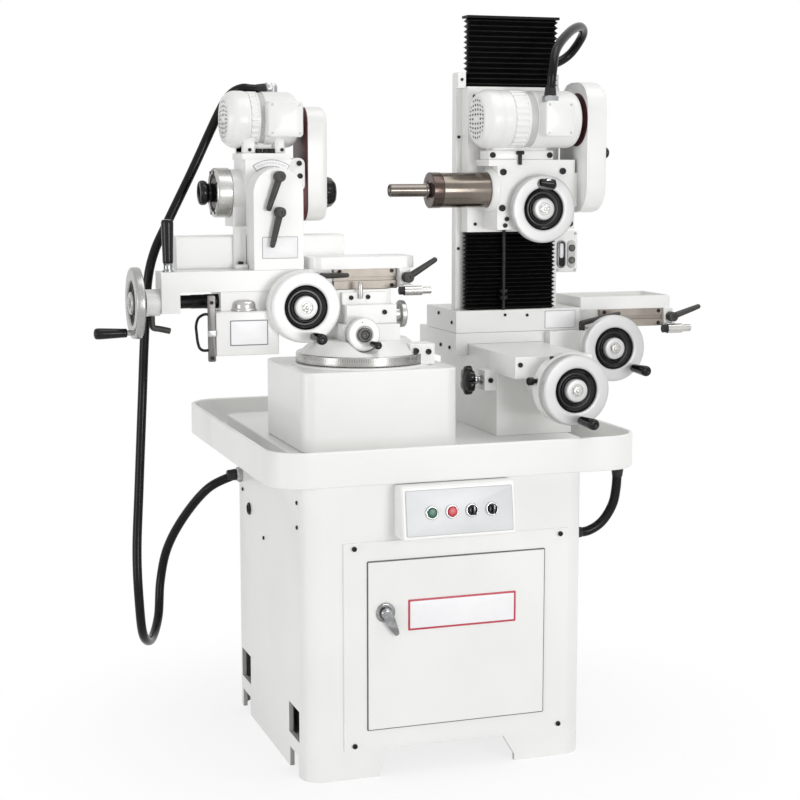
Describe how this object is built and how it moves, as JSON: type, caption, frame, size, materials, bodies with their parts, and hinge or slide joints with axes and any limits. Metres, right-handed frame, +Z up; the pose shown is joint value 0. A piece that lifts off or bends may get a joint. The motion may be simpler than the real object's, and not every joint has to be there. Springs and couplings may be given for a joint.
{
  "type": "tool and cutter grinder",
  "caption": "White tool and cutter grinder on a cabinet: a tilting workhead on a swivelling compound table, and a motor-driven grinding head on a column with bellows and handwheels.",
  "frame": {"origin": "on the floor, under the middle of the cabinet", "axes": "+X is the operator's right, +Y is the back of the machine, +Z is up"},
  "size_m": [1.5227, 0.9568, 1.6788],
  "materials": {
    "cabinet": "white enamel on sheet steel and castings",
    "levelling_screws": "ground steel",
    "door_frame": "white enamel",
    "control_box": "white enamel",
    "control_fascia": "satin plate with plain bezels",
    "chip_tray": "white enamel",
    "left_pedestal": "white enamel",
    "right_pedestal": "white enamel",
    "cross_lock": "black moulded plastic",
    "cable_glands": "ground steel",
    "left_cable": "matt black",
    "drain_hose": "matt black",
    "door_panel": "white enamel",
    "door_handle": "polished chrome",
    "start_button": "green",
    "stop_button": "red",
    "work_selector": "black",
    "wheel_selector": "black",
    "turntable": "white enamel",
    "degree_ring": "ground steel",
    "cross_dial": "light grey enamel with a black crank grip",
    "left_saddle": "white enamel",
    "index_box": "white enamel",
    "side_dial": "ground steel",
    "left_table": "white enamel",
    "left_rail": "ground steel",
    "feed_bracket": "white enamel",
    "push_handle": "black moulded plastic",
    "left_wheel": "light grey enamel with a black crank grip",
    "feed_wheel": "light grey enamel with a black crank grip",
    "feed_lever": "black moulded plastic",
    "left_clamp_lever": "dark grey enamel",
    "workhead_bracket": "white enamel",
    "upper_tilt_lever": "dark grey enamel",
    "lower_tilt_lever": "dark grey enamel",
    "workhead_housing": "white enamel",
    "work_motor": "white enamel on an aluminium frame",
    "work_guard": "white enamel",
    "work_spindle": "ground steel",
    "work_pulley": "ground steel",
    "right_saddle": "white enamel",
    "cross_wheel": "light grey enamel with a black crank grip",
    "right_table": "white enamel",
    "right_rail": "ground steel",
    "table_wheel": "light grey enamel with a black crank grip",
    "right_clamp_lever": "dark grey enamel",
    "guard_tray": "white enamel",
    "column": "white enamel",
    "socket_box": "white enamel",
    "stop_rod": "ground steel",
    "lower_bellows": "coated black cloth",
    "upper_bellows": "coated black cloth",
    "head_casting": "white enamel",
    "spindle_barrel": "ground steel",
    "grinding_spindle": "ground steel",
    "head_motor": "white enamel on an aluminium frame",
    "head_pulley": "ground steel",
    "head_guard": "white enamel",
    "head_wheel": "light grey enamel with a black crank grip",
    "head_cable": "matt black"
  },
  "bodies": {
    "base": {"cabinet": "cabinet", "levelling_screws": "levelling_screws", "door_frame": "door_frame", "control_box": "control_box", "control_fascia": "control_fascia", "chip_tray": "chip_tray", "left_pedestal": "left_pedestal", "right_pedestal": "right_pedestal", "cable_glands": "cable_glands", "left_cable": "left_cable", "drain_hose": "drain_hose"},
    "door": {"door_panel": "door_panel"},
    "latch": {"door_handle": "door_handle"},
    "start": {"start_button": "start_button"},
    "stop": {"stop_button": "stop_button"},
    "work_switch": {"work_selector": "work_selector"},
    "wheel_switch": {"wheel_selector": "wheel_selector"},
    "cross_clamp": {"cross_lock": "cross_lock"},
    "swivel": {"turntable": "turntable", "degree_ring": "degree_ring"},
    "cross_dial_body": {"cross_dial": "cross_dial"},
    "left_slide": {"left_saddle": "left_saddle", "index_box": "index_box"},
    "side_dial_body": {"side_dial": "side_dial"},
    "work_table": {"left_table": "left_table", "left_rail": "left_rail", "feed_bracket": "feed_bracket", "push_handle": "push_handle", "workhead_bracket": "workhead_bracket"},
    "traverse_wheel": {"left_wheel": "left_wheel"},
    "fine_feed": {"feed_wheel": "feed_wheel"},
    "fine_feed_trip": {"feed_lever": "feed_lever"},
    "work_table_clamp": {"left_clamp_lever": "left_clamp_lever"},
    "tilt_clamp_upper": {"upper_tilt_lever": "upper_tilt_lever"},
    "tilt_clamp_lower": {"lower_tilt_lever": "lower_tilt_lever"},
    "workhead": {"workhead_housing": "workhead_housing", "work_motor": "work_motor", "work_guard": "work_guard"},
    "work_spindle_body": {"work_spindle": "work_spindle"},
    "work_motor_pulley": {"work_pulley": "work_pulley"},
    "right_slide": {"right_saddle": "right_saddle"},
    "cross_handwheel": {"cross_wheel": "cross_wheel"},
    "wheel_table": {"right_table": "right_table", "right_rail": "right_rail", "guard_tray": "guard_tray", "column": "column", "socket_box": "socket_box", "stop_rod": "stop_rod", "lower_bellows": "lower_bellows", "upper_bellows": "upper_bellows", "head_cable": "head_cable"},
    "table_handwheel": {"table_wheel": "table_wheel"},
    "wheel_table_clamp": {"right_clamp_lever": "right_clamp_lever"},
    "grinding_head": {"head_casting": "head_casting", "spindle_barrel": "spindle_barrel", "head_motor": "head_motor", "head_guard": "head_guard"},
    "head_handwheel": {"head_wheel": "head_wheel"},
    "grinding_spindle_body": {"grinding_spindle": "grinding_spindle"},
    "head_motor_pulley": {"head_pulley": "head_pulley"}
  },
  "joints": [
    {"name": "door_hinge", "type": "hinge", "parent": "base", "child": "door", "pos_m": [0.223, -0.324, 0.297], "axis": [0, 0, 1], "range_deg": [0, 110]},
    {"name": "latch_turn", "type": "hinge", "parent": "door", "child": "latch", "pos_m": [-0.149, -0.324, 0.371], "axis": [0, 1, 0], "range_deg": [-90, 0]},
    {"name": "start_press", "type": "slide", "parent": "base", "child": "start", "axis": [0, 0.9905, -0.1378], "range_m": [0, 0.002], "stiffness_N_per_m": 500},
    {"name": "stop_press", "type": "slide", "parent": "base", "child": "stop", "axis": [0, 0.9905, -0.1378], "range_m": [0, 0.002], "stiffness_N_per_m": 500},
    {"name": "work_select", "type": "hinge", "parent": "base", "child": "work_switch", "pos_m": [0.032, -0.368, 0.5935], "axis": [0, -0.9905, 0.1378], "range_deg": [-45, 45]},
    {"name": "wheel_select", "type": "hinge", "parent": "base", "child": "wheel_switch", "pos_m": [0.078, -0.368, 0.5935], "axis": [0, -0.9905, 0.1378], "range_deg": [-45, 45]},
    {"name": "cross_lock_turn", "type": "hinge", "parent": "base", "child": "cross_clamp", "pos_m": [0.15, -0.065, 0.834], "axis": [1, 0, 0], "continuous": true},
    {"name": "table_swivel", "type": "hinge", "parent": "base", "child": "swivel", "pos_m": [-0.105, -0.014, 0.8844], "axis": [0, 0, 1], "range_deg": [-30, 45], "deforming": ["left_cable"]},
    {"name": "left_cross", "type": "slide", "parent": "swivel", "child": "left_slide", "axis": [0, 1, 0], "range_m": [-0.02, 0.03], "deforming": ["left_cable"]},
    {"name": "cross_dial_turn", "type": "hinge", "parent": "swivel", "child": "cross_dial_body", "pos_m": [-0.127, -0.0864, 0.9524], "axis": [0, 1, 0], "range_deg": [-293, 437]},
    {"name": "side_dial_turn", "type": "hinge", "parent": "left_slide", "child": "side_dial_body", "pos_m": [-0.02, -0.034, 0.9908], "axis": [1, 0, 0], "continuous": true},
    {"name": "table_traverse", "type": "slide", "parent": "left_slide", "child": "work_table", "axis": [1, 0, 0], "range_m": [-0.05, 0.05], "deforming": ["left_cable"]},
    {"name": "traverse_wheel_turn", "type": "hinge", "parent": "left_slide", "child": "traverse_wheel", "pos_m": [-0.244, -0.0204, 1.0118], "axis": [0, 1, 0], "range_deg": [-180, 180]},
    {"name": "fine_feed_turn", "type": "hinge", "parent": "work_table", "child": "fine_feed", "pos_m": [-0.5924, 0.045, 1.0242], "axis": [1, 0, 0], "continuous": true},
    {"name": "fine_feed_trip_turn", "type": "hinge", "parent": "work_table", "child": "fine_feed_trip", "pos_m": [-0.576, 0.045, 0.977], "axis": [0, 0, 1], "range_deg": [-30, 30]},
    {"name": "work_table_clamp_turn", "type": "hinge", "parent": "work_table", "child": "work_table_clamp", "pos_m": [0.003, -0.0184, 1.0732], "axis": [0, 1, 0], "range_deg": [-40, 40]},
    {"name": "upper_tilt_clamp_turn", "type": "hinge", "parent": "work_table", "child": "tilt_clamp_upper", "pos_m": [-0.288, 0.0196, 1.3032], "axis": [0, 1, 0], "range_deg": [-3, 60]},
    {"name": "lower_tilt_clamp_turn", "type": "hinge", "parent": "work_table", "child": "tilt_clamp_lower", "pos_m": [-0.288, 0.0196, 1.2232], "axis": [0, 1, 0], "range_deg": [-30, 40]},
    {"name": "workhead_tilt", "type": "hinge", "parent": "work_table", "child": "workhead", "pos_m": [-0.288, 0.092, 1.2652], "axis": [0, 1, 0], "range_deg": [-10, 10], "deforming": ["left_cable"]},
    {"name": "work_spindle_turn", "type": "hinge", "parent": "workhead", "child": "work_spindle_body", "pos_m": [-0.372, 0.154, 1.2652], "axis": [1, 0, 0], "continuous": true},
    {"name": "work_motor_turn", "type": "hinge", "parent": "workhead", "child": "work_motor_pulley", "pos_m": [-0.215, 0.154, 1.4322], "axis": [1, 0, 0], "continuous": true},
    {"name": "right_cross", "type": "slide", "parent": "base", "child": "right_slide", "axis": [0, 1, 0], "range_m": [-0.05, 0.05]},
    {"name": "cross_handwheel_turn", "type": "hinge", "parent": "base", "child": "cross_handwheel", "pos_m": [0.313, -0.2584, 0.83], "axis": [0, 1, 0], "range_deg": [-725, 725]},
    {"name": "right_traverse", "type": "slide", "parent": "right_slide", "child": "wheel_table", "axis": [1, 0, 0], "range_m": [-0.03, 0.08]},
    {"name": "table_handwheel_turn", "type": "hinge", "parent": "right_slide", "child": "table_handwheel", "pos_m": [0.524, -0.0124, 0.892], "axis": [0, 1, 0], "range_deg": [-437, 1157]},
    {"name": "wheel_table_clamp_turn", "type": "hinge", "parent": "wheel_table", "child": "wheel_table_clamp", "pos_m": [0.738, 0.0876, 0.9528], "axis": [0, 1, 0], "range_deg": [-40, 15]},
    {"name": "head_lift", "type": "slide", "parent": "wheel_table", "child": "grinding_head", "axis": [0, 0, 1], "range_m": [-0.1, 0.09], "deforming": ["lower_bellows", "upper_bellows", "head_cable"]},
    {"name": "head_handwheel_turn", "type": "hinge", "parent": "grinding_head", "child": "head_handwheel", "pos_m": [0.349, 0.0176, 1.2258], "axis": [0, 1, 0], "range_deg": [-1445, 1301]},
    {"name": "grinding_spindle_turn", "type": "hinge", "parent": "grinding_head", "child": "grinding_spindle_body", "pos_m": [0.085, 0.058, 1.2698], "axis": [1, 0, 0], "continuous": true},
    {"name": "head_motor_turn", "type": "hinge", "parent": "grinding_head", "child": "head_motor_pulley", "pos_m": [0.438, 0.029, 1.4348], "axis": [1, 0, 0], "continuous": true}
  ],
  "couplings": [
    {"joint": "cross_dial_turn", "follows": "left_cross", "rad_per_m": 251.33},
    {"joint": "traverse_wheel_turn", "follows": "table_traverse", "rad_per_m": 60},
    {"joint": "work_motor_turn", "follows": "work_spindle_turn", "ratio": 1.5454},
    {"joint": "cross_handwheel_turn", "follows": "right_cross", "rad_per_m": 251.33},
    {"joint": "table_handwheel_turn", "follows": "right_traverse", "rad_per_m": 251.33},
    {"joint": "head_handwheel_turn", "follows": "head_lift", "rad_per_m": 251.33},
    {"joint": "head_motor_turn", "follows": "grinding_spindle_turn", "ratio": 0.78947}
  ]
}
